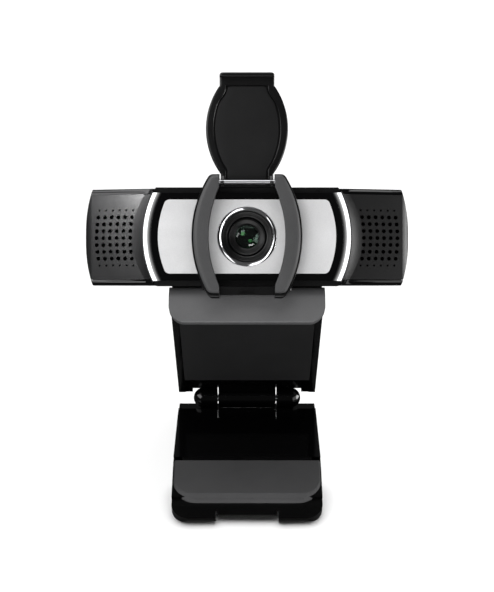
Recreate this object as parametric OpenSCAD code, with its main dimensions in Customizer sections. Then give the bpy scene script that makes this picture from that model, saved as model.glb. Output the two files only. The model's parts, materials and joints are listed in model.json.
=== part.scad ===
/* [Head] */
// Width of the camera head, wing tip to wing tip
head_w = 94; // [90:0.5:98]
// Height of the camera head at its middle
head_h = 28.2; // [28:0.1:29]
// Depth of the camera head, face to back
head_d = 24; // [23.5:0.5:26]
// Wall thickness of the moulded shells
wall = 1.6; // [1.2:0.1:2]
// Radius of the light bars about the lens axis
bar_r = 29.1; // [28.8:0.1:29.4]
// Width of each light bar
bar_w = 1.1; // [1:0.1:1.6]
// Half height of the silver face plate
plate_half = 10.55; // [9.5:0.05:11]
// Half height of the matte wing shells, between their trims
wing_half = 12.2; // [11.8:0.1:12.4]
// Distance between neighbouring grille holes
grille_pitch = 1.98; // [1.8:0.02:2]
// Diameter of a large grille hole
grille_d = 1.15; // [0.8:0.05:1.3]

/* [Lens] */
// Outer radius of the bright ring round the lens
ring_r = 8.5; // [8:0.1:9]
// Outer radius of the moving lens barrel
barrel_r = 5.45; // [5:0.05:5.5]
// Furthest the lens moves forward to focus
focus_travel = 0.3; // [0.1:0.05:0.35]

/* [Shutter] */
// Half height of the bracket that clips over the head
bracket_half = 17.6; // [17.2:0.1:18.5]
// Half width of the bracket at its middle
bracket_w = 15.7; // [15:0.1:17]
// Height of the flap above its hinge when it is open
flap_len = 31.2; // [28:0.2:32]
// Half width of the flap at its widest
flap_w = 11.7; // [11:0.1:12.5]

/* [Clip] */
// Width of the clip's plate, leg and foot
clip_w = 45; // [44.6:0.2:48]
// Distance from the clip's hinge to the centre of its rounded nose
nose_s = 58.3; // [56:0.1:60]
// Radius of the clip's rounded nose
nose_r = 4.2; // [3.9:0.1:4.4]
// Length of the front lip below the nose
lip_drop = 7.5; // [6:0.5:10]
// Distance between the leg's two hinge axes
leg_len = 35.3; // [34:0.5:38]
// Distance from the foot's axis to the centre of its rounded toe
foot_len = 17; // [16:0.5:18.5]
// Radius of the rounded toe
toe_r = 2.5; // [2.3:0.1:2.7]
// Radius of the tapped hole for a camera tripod's screw
tripod_r = 2.55; // [2.5:0.01:2.6]

/* [Stance] */
// Upward tilt of the lens axis
head_pitch = 30; // [30:1:34]
// Slope of the clip's plate above the table
plate_angle = 62.5; // [60:0.5:63]
// Slope of the leg above the table
leg_angle = 5.4; // [5:0.1:6]

/* [Hidden] */
$fn = 64;
big_fn = 360;
small_fn = 24;

// Shared gaps: between a moving part and its neighbour, and where two fixed parts meet
gap = 0.3;
seam = 0.05;

// Front of the head: a swept face behind the flat middle
half_w = head_w / 2;
half_h = head_h / 2;
sweep_r = 180;
sweep_y = -0.9;
parting_y = 10;
trim_half = half_h - 0.2;
trim_round = 1.4;
trim_deep = 14;
// Wing ends: a bulged side, and round corners in plan
side_r = 42;
side_x = half_w - side_r;
tip_r = 4;
tip_y = 8.3;
back_tip_r = 6;
back_tip_y = 11.9;
// Hollow curve beside the light bar: where it leaves the swept face, its radius and its end angle
flare_x = 33.9;
flare_r = 6.65;
flare_end_a = 52;
// Back of the head
rear_r = 140;
rear_round = 5;
// Light bars and the middle of the face
bar_half = 12.65;
frame_r = bar_r - bar_w / 2 - seam;
wing_cut_r = bar_r + bar_w / 2 + seam;
face_y = 0.6;
bezel_half = 12.45;
bezel_r = frame_r - 0.2;
plate_r = 25.4;
plate_corner = 1.6;
hood_r = 7.25;
// Grille
grille_rows = 9;
grille_cols = 6;
grille_x = 32.6;
grille_bow = 0.95;
grille_z = -0.25;
grille_small = 0.6;
mic_x = 38;
mic_r = 3;
// Screws of the head
boss_x = 33;
boss_z = 7.5;
boss_r = 2.6;
screw_r = 1;
screw_head_r = 2;
gland_r = 3;
gland_z = -7;
cord_r = 2.1;
// Shutter
arm_in = 10.9;
arm_end_in = 7.8;
arm_curve = 32.4;
arm_front = -4.6;
arm_back = -1.2;
flap_z = 15.3;
flap_y = -3;
flap_curve = 21.5;
flap_thick = 1.6;
flap_back = 1.8;
flap_pin_r = 0.6;
knuckle_r = 1.3;
// Clip
half_clip = clip_w / 2;
under_n = 1.64;
top_n = nose_r + 0.64;
nose_n = top_n - nose_r;
rail_w = 2.2;
jaw_end = 8.8;
lip_lean = 15;
lip_thick = 2.4;
lip_corner = 5.2;
lip_round = 0.45;
join_s = 55;
join_end = -0.7;
cover_end = 0.3;
hinge_r = 3.3;
mid_half = 9.35;
knuckle_in = 9.75;
knuckle_out = 17.6;
dome_x = knuckle_out - hinge_r;
clip_pin_r = 1.2;
clip_pin_half = 16.2;
// Tilt joint, seen from the clip's hinge: along the plate and above it
tilt_s = 52.2;
tilt_n = 6.95;
tilt_r = 1.9;
tilt_pin_r = 0.9;
tilt_mid = 4.6;
tilt_ear = 8;
// Leg and foot
leg_top = -1.6;
leg_low = -6.4;
leg_rail = 1.2;
heel_r = 2.4;
heel_s = -1;
heel_n = -5.4;
foot_n = -3.8;
foot_root_r = 2.2;
foot_pin_r = 0.65;
foot_half = 19.6;
foot_ear_r = 1.1;
pad_low = 1.4;
pad_top = 2.2;
pad_back = 0.4;
pad_flat_s = 11.6;
pad_front_s = 13.8;
tray_z = 0.1;
toe_corner = 5.6;
insert_r = 4.3;
// Stance worked out so that heel and toe both rest on the table, midway about the origin
hinge_z = heel_r - heel_s * sin(leg_angle) - heel_n * cos(leg_angle);
foot_z = hinge_z + leg_len * sin(leg_angle) + foot_n * cos(leg_angle);
foot_slope = asin((foot_z - toe_r) / foot_len);
foot_reach = leg_len * cos(leg_angle) - foot_n * sin(leg_angle);
toe_reach = foot_reach + foot_len * cos(foot_slope) + toe_r;
back_reach = cover_end * cos(plate_angle) + top_n * sin(plate_angle);
hinge_y = (toe_reach - back_reach) / 2;
foot_y = hinge_y - foot_reach;
// Head carried on the tilt joint; these two place the joint under the lens axis
tilt_in_y = 15;
tilt_in_z = -16.6;
tilt_y = hinge_y - tilt_s * cos(plate_angle) + tilt_n * sin(plate_angle);
tilt_z = hinge_z + tilt_s * sin(plate_angle) + tilt_n * cos(plate_angle);

// Points along an arc, from angle a0 to angle a1
function arc(cx, cy, r, a0, a1, n = 8) =
    [for (i = [0:n]) [cx + r * cos(a0 + (a1 - a0) * i / n), cy + r * sin(a0 + (a1 - a0) * i / n)]];

// Placement of each assembly
module in_head() {
    translate([0, tilt_y, tilt_z])
        rotate([-head_pitch, 0, 0])
            translate([0, -tilt_in_y, -tilt_in_z])
                children();
}
module in_plate() {
    translate([0, hinge_y, hinge_z])
        rotate([-plate_angle, 0, 0])
            children();
}
module in_leg() {
    translate([0, hinge_y, hinge_z])
        rotate([-leg_angle, 0, 0])
            children();
}
module in_foot() {
    translate([0, foot_y, foot_z])
        rotate([foot_slope, 0, 0])
            children();
}
// The nose's centre, with -Z down the lip and -Y out of its front
module in_lip() {
    translate([0, -nose_s, nose_n])
        rotate([lip_lean, 0, 0])
            children();
}
module both_sides() {
    children();
    mirror([1, 0, 0])
        children();
}
// A shape drawn in the front view, as thick as y0 to y1
module front_slab(y0, y1) {
    translate([0, y1, 0])
        rotate([90, 0, 0])
            linear_extrude(y1 - y0)
                children();
}
// A shape drawn from the side (depth, height), centred across the width
module side_slab(w) {
    rotate([90, 0, 90])
        linear_extrude(w, center = true)
            children();
}
// A rod along the depth, and one along the width
module rod_y(r, y0, y1) {
    translate([0, y0, 0])
        rotate([-90, 0, 0])
            cylinder(r = r, h = y1 - y0);
}
module rod_x(r, x0, x1) {
    translate([x0, 0, 0])
        rotate([0, 90, 0])
            cylinder(r = r, h = x1 - x0);
}
// A block given by its lowest and highest corners
module block(low, high) {
    translate(low)
        cube(high - low);
}
// A profile of (radius, depth) turned about the lens axis
module lens_turn() {
    rotate([-90, 0, 0])
        rotate_extrude()
            children();
}

// ---- Head shells ----

// Round corners of the wing tips in plan, front and back, pulled in by an inset
module tip_plan(inset) {
    front_x = half_w - tip_r;
    back_x = half_w - back_tip_r;
    linear_extrude(head_h * 2, center = true)
        intersection() {
            union() {
                translate([-front_x, -head_d])
                    square([2 * front_x, 3 * head_d]);
                translate([-half_w + inset, tip_y])
                    square([2 * (half_w - inset), 2 * head_d]);
                for (side = [-1, 1])
                    translate([side * front_x, tip_y])
                        circle(r = tip_r - inset);
            }
            union() {
                translate([-back_x, -head_d])
                    square([2 * back_x, 3 * head_d]);
                translate([-half_w + inset, back_tip_y - 3 * head_d])
                    square([2 * (half_w - inset), 3 * head_d]);
                for (side = [-1, 1])
                    translate([side * back_x, back_tip_y])
                        circle(r = back_tip_r - inset);
            }
        }
}
// Bulged ends of the head, as seen from the front
module bulged_ends(inset) {
    for (side = [-1, 1])
        translate([side * side_x, 0, 0])
            rotate([90, 0, 0])
                cylinder(r = side_r - inset, h = 4 * head_d, center = true, $fn = big_fn);
}
// Everything behind the swept face
module swept_face(inset, half) {
    translate([0, sweep_y + sweep_r, -half])
        cylinder(r = sweep_r - inset, h = 2 * half, $fn = big_fn);
}
// The front half of a wing as a solid
module wing_solid(inset, half) {
    intersection() {
        swept_face(inset, half);
        tip_plan(inset);
        bulged_ends(inset);
    }
}
// The round middle of the head, cut out of its neighbours
module middle_cut() {
    rod_y(wing_cut_r, -head_d, head_d);
}
module grille_holes() {
    for (row = [0:grille_rows - 1]) {
        step = (grille_rows - 1) / 2 - row;
        end_row = row == 0 || row == grille_rows - 1;
        bow = grille_bow * (1 - pow(step / ((grille_rows - 1) / 2), 2));
        for (col = [0:grille_cols - 1])
            translate([grille_x + bow + col * grille_pitch, 0, grille_z + step * grille_pitch])
                rod_y((end_row ? grille_small : grille_d) / 2, 0, tip_y + 1);
    }
}
// Hollow curve in which a wing's face rises to the light bar
module wing_flare(z0, z1) {
    leave_a = asin(flare_x / sweep_r);
    leave_y = sweep_y + sweep_r * (1 - cos(leave_a));
    back_y = leave_y + 0.5;
    intersection() {
        lens_turn($fn = big_fn)
            polygon(concat(
                arc(flare_x + flare_r * sin(leave_a), leave_y - flare_r * cos(leave_a),
                    flare_r, 90 + leave_a, 90 + flare_end_a, 10),
                [[wing_cut_r - 1, back_y], [flare_x, back_y]]
            ));
        block([0, -head_d, z0], [half_w, parting_y, z1]);
    }
}
module wing_shell() {
    color("#2b2b2c")
        difference() {
            union() {
                intersection() {
                    wing_solid(0, wing_half);
                    block([0, -head_d, -half_h], [half_w, parting_y, half_h]);
                }
                wing_flare(-wing_half, wing_half);
            }
            middle_cut();
            wing_solid(wall, wing_half - wall);
            grille_holes();
        }
}
module left_wing_shell() {
    mirror([1, 0, 0])
        wing_shell();
}
module right_wing_shell() {
    wing_shell();
}
// A glossy strip along the top of a wing, its front edge rounded
module wing_trim() {
    low = wing_half + 2 * seam;
    color("#0b0b0c")
        difference() {
            union() {
                intersection() {
                    translate([0, sweep_y + sweep_r, 0])
                        rotate_extrude($fn = big_fn)
                            polygon(concat(
                                [[sweep_r - trim_deep, trim_half], [sweep_r - trim_deep, low]],
                                [[sweep_r, low]],
                                arc(sweep_r - trim_round, trim_half - trim_round, trim_round, 0, 90)
                            ));
                    tip_plan(0);
                    bulged_ends(0);
                    block([0, -head_d, 0], [half_w, parting_y, half_h]);
                }
                wing_flare(low, trim_half - 0.4);
            }
            middle_cut();
        }
}
module left_top_trim() {
    mirror([1, 0, 0])
        wing_trim();
}
module right_top_trim() {
    wing_trim();
}
module left_bottom_trim() {
    rotate([0, 180, 0])
        wing_trim();
}
module right_bottom_trim() {
    mirror([0, 0, 1])
        wing_trim();
}
// Back of the head as a solid, its rear edges rounded
module rear_solid(inset) {
    r = rear_r - inset;
    top = trim_half - inset;
    round = rear_round - inset;
    intersection() {
        translate([0, head_d - rear_r, 0])
            rotate_extrude($fn = big_fn)
                polygon(concat(
                    [[rear_r - head_d, -top]],
                    arc(r - round, -top + round, round, -90, 0),
                    arc(r - round, top - round, round, 0, 90),
                    [[rear_r - head_d, top]]
                ));
        tip_plan(inset);
        bulged_ends(inset);
    }
}
module boss_places() {
    for (x = [-boss_x, boss_x], z = [-boss_z, boss_z])
        translate([x, 0, z])
            children();
}
module rear_shell() {
    screw_seat = 15.5;
    color("#161617")
        difference() {
            intersection() {
                rear_solid(0);
                block([-half_w, parting_y + seam, -half_h], [half_w, head_d + wall, half_h]);
            }
            difference() {
                rear_solid(wall);
                boss_places()
                    rod_y(boss_r, parting_y - 1, head_d);
            }
            boss_places() {
                rod_y(screw_r + seam, parting_y - 1, head_d);
                rod_y(screw_head_r + seam, screw_seat, head_d);
            }
            translate([0, 0, gland_z])
                rod_y(gland_r, head_d - 4 * wall, head_d + 1);
            saddle_screw_places(screw_r + seam, -half_h, 0);
        }
}
// The ring-shaped middle of the face, cut off flat at top and bottom
module capped_circle(r, half) {
    intersection() {
        circle(r = r, $fn = 4 * small_fn);
        square([2 * r, 2 * half], center = true);
    }
}
module front_frame() {
    frame_wall = 1.6;
    color("#1c1c1d")
        difference() {
            union() {
                front_slab(face_y, parting_y)
                    capped_circle(frame_r, half_h);
                front_slab(face_y, parting_y)
                    difference() {
                        capped_circle(wing_cut_r - seam, half_h);
                        square([2 * wing_cut_r, 2 * bar_half], center = true);
                    }
            }
            block([-half_w, face_y + frame_wall, -bar_half], [half_w, head_d, bar_half]);
            front_slab(face_y - 1, face_y + 0.8)
                capped_circle(frame_r + 1, bezel_half + seam);
            rod_y(ring_r + 0.1, -1, parting_y);
        }
}
module front_bezel() {
    color("#050506")
        difference() {
            front_slab(-0.1, face_y + 0.75)
                capped_circle(bezel_r, bezel_half);
            front_slab(-1, 0.25)
                capped_circle(plate_r + seam, plate_half + seam);
            rod_y(ring_r + seam, -1, 2);
        }
}
// Outline of the face plate: round ends about the lens axis and small round corners
module plate_outline() {
    corner_z = plate_half - plate_corner;
    corner_x = sqrt(pow(plate_r - plate_corner, 2) - pow(corner_z, 2));
    corner_a = atan2(corner_z, corner_x);
    quarter = concat(
        arc(0, 0, plate_r, 0, corner_a),
        arc(corner_x, corner_z, plate_corner, corner_a + 10, 90, 7)
    );
    last = len(quarter) - 1;
    polygon(concat(
        quarter,
        [for (i = [last:-1:0]) [-quarter[i][0], quarter[i][1]]],
        [for (i = [1:last]) [-quarter[i][0], -quarter[i][1]]],
        [for (i = [last:-1:1]) [quarter[i][0], -quarter[i][1]]]
    ));
}
module face_plate() {
    color("#c9c9cb")
        difference() {
            front_slab(-0.4, 0.2)
                plate_outline();
            rod_y(ring_r + seam, -1, 1);
        }
}
// ---- Light bars ----

module bar_sector(r0, r1, half, y0, y1) {
    intersection() {
        difference() {
            rod_y(r1, y0, y1);
            rod_y(r0, y0 - 1, y1 + 1);
        }
        block([0, -head_d, -half], [half_w, head_d, half]);
    }
}
module light_bar() {
    color("white")
        bar_sector(bar_r - bar_w / 2, bar_r + bar_w / 2, bar_half - seam, -0.1, 3);
}
module light_board() {
    led_z = 7;
    color("#1d5a33") {
        bar_sector(bar_r - 2.4, bar_r + 1.2, 10.5, 4, 4.8);
        for (z = [-led_z, 0, led_z]) {
            led_x = sqrt(pow(bar_r, 2) - pow(z, 2));
            block([led_x - 0.9, 3.1, z - 0.8], [led_x + 0.6, 4.1, z + 0.8]);
        }
    }
}
module left_light_bar() {
    mirror([1, 0, 0])
        light_bar();
}
module right_light_bar() {
    light_bar();
}
module left_light_board() {
    mirror([1, 0, 0])
        light_board();
}
module right_light_board() {
    light_board();
}
// ---- Microphones ----

module mesh() {
    mesh_half = 9.6;
    color("#101010")
        intersection() {
            difference() {
                swept_face(wall + seam, mesh_half);
                swept_face(wall + seam + 0.3, half_h);
            }
            block([grille_x - 1.4, 0, -mesh_half], [half_w - tip_r - 0.2, parting_y, mesh_half]);
        }
}
module microphone() {
    color("silver")
        translate([mic_x, 0, 0])
            rod_y(mic_r, 7.2, 9.4);
}
module mic_boot() {
    boot_r = 4.2;
    color("#202020")
        translate([mic_x, 0, 0])
            difference() {
                rod_y(boot_r, 6.6, 10.6);
                rod_y(mic_r - 0.8, 6, 8);
                rod_y(mic_r, 7.2, 11);
            }
}
module left_mesh() {
    mirror([1, 0, 0])
        mesh();
}
module right_mesh() {
    mesh();
}
module left_microphone() {
    mirror([1, 0, 0])
        microphone();
}
module right_microphone() {
    microphone();
}
module left_mic_boot() {
    mirror([1, 0, 0])
        mic_boot();
}
module right_mic_boot() {
    mic_boot();
}
// ---- Lens and sensor ----

ring_in = 7.3;
barrel_bore = 4.8;
glass_r = 4.7;
housing_half = 9;
module lens_ring() {
    bevel = 0.4;
    color("#d8d8da")
        lens_turn()
            polygon([
                [ring_in, -0.6], [ring_in + bevel, -1.1], [ring_r - bevel, -1.1],
                [ring_r, -1.1 + bevel], [ring_r, 2.2], [ring_in, 2.2]
            ]);
}
module lens_hood() {
    throat = barrel_r + 0.15;
    color("#0d0d0e")
        lens_turn()
            polygon([
                [throat + 0.1, 0.3], [throat + 0.6, -0.1], [hood_r - 0.5, -0.5], [hood_r, -0.5],
                [hood_r, 2.6], [throat, 2.6], [throat, 0.6]
            ]);
}
module lens_barrel() {
    color("#141415")
        lens_turn()
            polygon([
                [barrel_bore, 0.9], [barrel_r - 0.3, 0.6], [barrel_r, 0.9],
                [barrel_r, 8.6], [barrel_bore, 8.6]
            ]);
}
module lens_retainer() {
    eye = 3.35;
    color("#101011")
        lens_turn()
            polygon([
                [eye, 1.9], [eye + 0.5, 1.5], [eye + 0.5, 1.25],
                [barrel_bore, 1], [barrel_bore, 2.2], [eye, 2.2]
            ]);
}
// A round lens element: two spherical faces of given bulge, on a ground edge
module element(r, y0, y1, bulge_front, bulge_back) {
    front_r = (pow(r, 2) + pow(bulge_front, 2)) / (2 * bulge_front);
    back_r = (pow(r, 2) + pow(bulge_back, 2)) / (2 * bulge_back);
    front_a = asin(r / front_r);
    back_a = asin(r / back_r);
    lens_turn()
        polygon(concat(
            arc(0, y1 + bulge_back - back_r, back_r, 90, 90 - back_a),
            arc(0, y0 - bulge_front + front_r, front_r, -90 + front_a, -90)
        ));
}
module front_element() {
    color("#3a5a4a")
        element(glass_r, 3.2, 3.8, 0.9, 0.5);
}
module aperture_stop() {
    color("black")
        difference() {
            rod_y(glass_r, 4.5, 4.7);
            rod_y(1.6, 4, 5);
        }
}
module middle_element() {
    color("#4a4a5a")
        element(glass_r, 5.4, 5.8, 0.5, 0.5);
}
module rear_element() {
    color("#4a4a5a")
        element(glass_r, 7.1, 7.6, 0.4, 0.7);
}
module lens_carrier() {
    color("#222222")
        difference() {
            rod_y(6.9, 3.7 + focus_travel, 8.4);
            rod_y(barrel_r, 3, 9);
        }
}
module focus_coil() {
    color("#b8652c")
        difference() {
            rod_y(7.5, 4.5, 7.9);
            rod_y(6.9, 4, 9);
        }
}
module focus_housing() {
    color("#2a2a2a")
        difference() {
            block([-housing_half, 2.9, -housing_half], [housing_half, 9.6, housing_half]);
            rod_y(barrel_r + 0.4, 2, 4);
            block([-7.9, 3.5, -7.9], [7.9, 10, 7.9]);
        }
}
module focus_magnets() {
    magnet = 2.3;
    reach = 7.85;
    color("#8a8a8c")
        for (sx = [-1, 1], sz = [-1, 1])
            translate([sx * reach, 0, sz * reach])
                mirror([sx < 0 ? 0 : 1, 0, 0])
                    mirror([0, 0, sz < 0 ? 0 : 1])
                        block([0, 4.2, 0], [magnet - 0.4, 8.2, magnet - 0.4]);
}
module ir_filter() {
    color("#c96a7a")
        block([-4, 10, -4], [4, 10.3, 4]);
}
module image_sensor() {
    color("#3a3a3c")
        block([-5, 10.5, -5], [5, 11.7, 5]);
}
module sensor_board() {
    color("#1d5a33")
        block([-11, 11.7, -9], [11, 12.7, 9]);
}
module main_board() {
    color("#1d5a33")
        block([-26, 16.2, -9], [26, 17.2, 9]);
}
module image_processor() {
    color("#222222")
        block([-6, 15, -6], [6, 16.2, 6]);
}
module board_shield() {
    color("#b0b0b2")
        difference() {
            block([8, 17.2, -7], [24, 19.4, 7]);
            block([8.3, 17, -6.7], [23.7, 19.1, 6.7]);
        }
}
module usb_header() {
    color("ivory")
        difference() {
            block([-18, 17.2, -4], [-8, 20.2, 0]);
            block([-17.4, 18, -3.4], [-8.6, 21, -0.6]);
        }
}
module cable_gland() {
    flange = 1.4;
    inner_y = 20.4;
    outer_y = 24.1;
    color("#1a1a1a")
        translate([0, 0, gland_z])
            difference() {
                union() {
                    rod_y(gland_r - 0.01, inner_y, outer_y + flange);
                    rod_y(gland_r + 1, outer_y, outer_y + flange);
                }
                rod_y(cord_r, inner_y + 0.8, outer_y + 2 * flange);
            }
}
module head_screws() {
    color("#8c8c8e")
        boss_places() {
            rod_y(screw_r, parting_y, 15.6);
            difference() {
                rod_y(screw_head_r, 15.5, 16.9);
                translate([0, 16.2, 0])
                    rotate([-90, 0, 0])
                        cylinder(r = 0.8, h = 2, $fn = 6);
            }
        }
}
// ---- Shutter ----

// A leaf shape: two arcs meeting, cut off at a lowest and highest point
module leaf(half, curve, low, high) {
    intersection() {
        translate([half - curve, 0])
            circle(r = curve, $fn = 4 * small_fn);
        translate([curve - half, 0])
            circle(r = curve, $fn = 4 * small_fn);
        translate([-half, low])
            square([2 * half, high - low]);
    }
}
module shutter_bracket() {
    hook_top = half_h + 0.1;
    hook_thick = 1.1;
    hook_half = 12.6;
    tail_low = -half_h - 2.7;
    notch_r = 2.6;
    notch_drop = 1.1;
    color("#4a4a4b")
        difference() {
            union() {
                front_slab(arm_front, arm_back)
                    difference() {
                        leaf(bracket_w, arm_curve, -bracket_half, bracket_half);
                        intersection() {
                            leaf(arm_in, arm_curve, -bracket_half, bracket_half);
                            square([2 * arm_in, 4 * bracket_half], center = true);
                        }
                        square([2 * arm_end_in, 2 * bracket_half + 1], center = true);
                    }
                both_sides()
                    block([arm_end_in, arm_back - 0.5, hook_top], [10.4, 2, bracket_half]);
                block([-10.4, -0.9, hook_top], [10.4, 8, hook_top + hook_thick]);
                block([-hook_half, arm_back - 0.5, -hook_top - hook_thick], [hook_half, 2.2, -hook_top]);
                block([-arm_end_in - 1, arm_back - 1.4, tail_low],
                    [arm_end_in + 1, arm_back + 0.4, -hook_top]);
            }
            translate([0, flap_y, flap_z])
                rod_x(flap_pin_r, -9.3, 9.3);
            translate([0, 0, tail_low - notch_drop])
                rod_y(notch_r, -half_h, 0);
        }
}
module flap_pin() {
    color("#707072")
        translate([0, flap_y, flap_z])
            rod_x(flap_pin_r, -9.3, 9.3);
}
// The flap hangs from its pin; drawn open, standing above it
module flap() {
    middle = 15.3;
    leaf_low = 1.1;
    leaf_high = 27.4;
    foot_half_w = arm_end_in - gap;
    arm_clear_z = bracket_half - flap_z + gap;
    tab_half = 7.8;
    knuckle_in_x = 5.6;
    color("#0e0e0f")
        translate([0, flap_y, flap_z])
            difference() {
                union() {
                    front_slab(flap_back, flap_back + flap_thick)
                        difference() {
                            union() {
                                translate([0, middle])
                                    leaf(flap_w, flap_curve, leaf_low - middle, leaf_high - middle);
                                translate([-tab_half, leaf_high - 1])
                                    square([2 * tab_half, flap_len - leaf_high + 1]);
                            }
                            for (side = [-1, 1])
                                translate([side * (foot_half_w + 5), 0])
                                    square([10, 2 * arm_clear_z], center = true);
                        }
                    translate([0, 0, flap_len - 1])
                        block([0.5 - tab_half, flap_back - 1.2, 0], [tab_half - 0.5, flap_back + 0.1, 1]);
                    both_sides() {
                        rod_x(knuckle_r, knuckle_in_x, foot_half_w);
                        block([knuckle_in_x, 0, 0.6], [foot_half_w, flap_back + flap_thick, leaf_low + 0.6]);
                    }
                }
                rod_x(flap_pin_r + 0.05, -10, 10);
                front_slab(flap_back - 1, flap_back + 0.5)
                    translate([0, middle])
                        leaf(flap_w - 2.2, flap_curve + 0.4, -13.2, 12.6);
            }
}
module flap_liner() {
    middle = 15.3;
    color("#262627")
        translate([0, flap_y, flap_z])
            front_slab(flap_back + 0.1, flap_back + 0.5)
                translate([0, middle])
                    leaf(flap_w - 2.5, flap_curve + 0.4, -12.8, 12.2);
}
// ---- Tilt joint ----

// Two screws that hold the saddle under the head
module saddle_screw_places(r, z0, z1) {
    for (side = [-1, 1])
        translate([side * 14, 14.3, z0])
            cylinder(r = r, h = z1 - z0, $fn = small_fn);
}
module tilt_saddle() {
    low = -15.4;
    color("#141415")
        difference() {
            union() {
                block([-22, parting_y + 0.1, low], [22, 18.4, -trim_half - seam]);
                both_sides() {
                    translate([0, tilt_in_y, tilt_in_z])
                        rod_x(tilt_r, tilt_mid + 0.3, tilt_ear);
                    block([tilt_mid + 0.3, tilt_in_y - tilt_r, tilt_in_z],
                        [tilt_ear, tilt_in_y + tilt_r, low + 0.2]);
                }
            }
            translate([0, tilt_in_y, tilt_in_z]) {
                rod_x(tilt_pin_r + 0.04, -tilt_ear - 1, tilt_ear + 1);
                rod_x(tilt_r + 0.3, -tilt_mid - 0.3, tilt_mid + 0.3);
            }
            saddle_screw_places(screw_r, low + 0.4, -half_h + 2);
        }
}
module saddle_screws() {
    floor_z = -trim_half + wall;
    color("#8c8c8e") {
        saddle_screw_places(screw_r, -15, floor_z + 0.1);
        saddle_screw_places(screw_head_r, floor_z + seam, floor_z + 1.2);
    }
}
module tilt_pin() {
    color("#9a9a9c")
        in_plate()
            translate([0, -tilt_s, tilt_n])
                rod_x(tilt_pin_r, -tilt_ear, tilt_ear);
}
// ---- Clip ----

// Narrow gaps beside the middle knuckle
module knuckle_slits() {
    slit_s = 3.8;
    both_sides()
        block([mid_half, -slit_s, -hinge_r], [knuckle_in, hinge_r, top_n + 1]);
}
module clip_frame() {
    slab_low = under_n + 0.2;
    slab_top = top_n - 1.2;
    color("#0a0a0b")
        difference() {
            union() {
                difference() {
                    union() {
                        block([-half_clip, -join_s, slab_low], [half_clip, join_end, slab_top]);
                        both_sides()
                            block([half_clip - rail_w, -join_s, under_n], [half_clip, join_end, slab_top]);
                    }
                    both_sides()
                        rod_x(hinge_r + gap, mid_half, knuckle_out + gap);
                    knuckle_slits();
                }
                rod_x(hinge_r, -mid_half, mid_half);
                block([-mid_half, -4.5, 0], [mid_half, 0, slab_top]);
            }
            rod_x(clip_pin_r, -half_clip, half_clip);
            block([-half_clip + rail_w, -join_s - 1, under_n - 1],
                [half_clip - rail_w, -jaw_end, under_n + 1]);
        }
}
module clip_cover() {
    cover_low = top_n - 1.15;
    color("#1b1b1c")
        difference() {
            union() {
                block([-half_clip, -join_s, cover_low], [half_clip, cover_end, top_n]);
                translate([0, -tilt_s, tilt_n])
                    rod_x(tilt_r, -tilt_mid, tilt_mid);
                block([-tilt_mid, -tilt_s - tilt_r, cover_low], [tilt_mid, -tilt_s + tilt_r, tilt_n]);
            }
            translate([0, -tilt_s, tilt_n]) {
                rod_x(tilt_pin_r, -tilt_ear, tilt_ear);
                both_sides()
                    rod_x(tilt_r + 0.5, tilt_mid, tilt_ear + 0.4);
            }
            knuckle_slits();
        }
}
module jaw_pad() {
    color("#333334")
        block([-half_clip + rail_w + seam, -join_s + 0.3, under_n - 0.1],
            [half_clip - rail_w - seam, -jaw_end - gap, under_n + 0.95]);
}
// Outline of the lip seen along its face, with round lower corners
module lip_outline() {
    low = -lip_drop - seam;
    translate([-half_clip, low + lip_corner])
        square([clip_w, 4 * lip_drop]);
    translate([-half_clip + lip_corner, low])
        square([clip_w - 2 * lip_corner, lip_drop]);
    for (side = [-1, 1])
        translate([side * (half_clip - lip_corner), low + lip_corner])
            circle(r = lip_corner);
}
// A point given in the lip's own directions, as (depth, height) beside the plate
function lip_point(y, z) = [
    y * cos(lip_lean) - z * sin(lip_lean) - nose_s,
    y * sin(lip_lean) + z * cos(lip_lean) + nose_n
];
module front_lip() {
    back_y = -nose_r + lip_thick;
    tip_front = lip_point(-nose_r + lip_round, -lip_drop + lip_round);
    tip_back = lip_point(back_y - lip_round, -lip_drop + lip_round);
    inner_z = (under_n - nose_n - back_y * sin(lip_lean)) / cos(lip_lean);
    color("#3e3e40")
        intersection() {
            side_slab(clip_w)
                polygon(concat(
                    [[-join_s - 0.02, under_n], [-join_s - 0.02, top_n]],
                    arc(-nose_s, nose_n, nose_r, 90, 180 + lip_lean, 14),
                    arc(tip_front[0], tip_front[1], lip_round, 180 + lip_lean, 270 + lip_lean, 6),
                    arc(tip_back[0], tip_back[1], lip_round, 270 + lip_lean, 360 + lip_lean, 6),
                    [lip_point(back_y, inner_z)]
                ));
            in_lip()
                front_slab(-nose_r - 1, 20)
                    lip_outline();
        }
}
module clip_pin() {
    color("#9a9a9c")
        in_plate()
            rod_x(clip_pin_r, -clip_pin_half + 0.1, clip_pin_half - 0.1);
}
// ---- Leg ----

module tripod_place() {
    translate([0, -leg_len / 2, 0])
        children();
}
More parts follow.
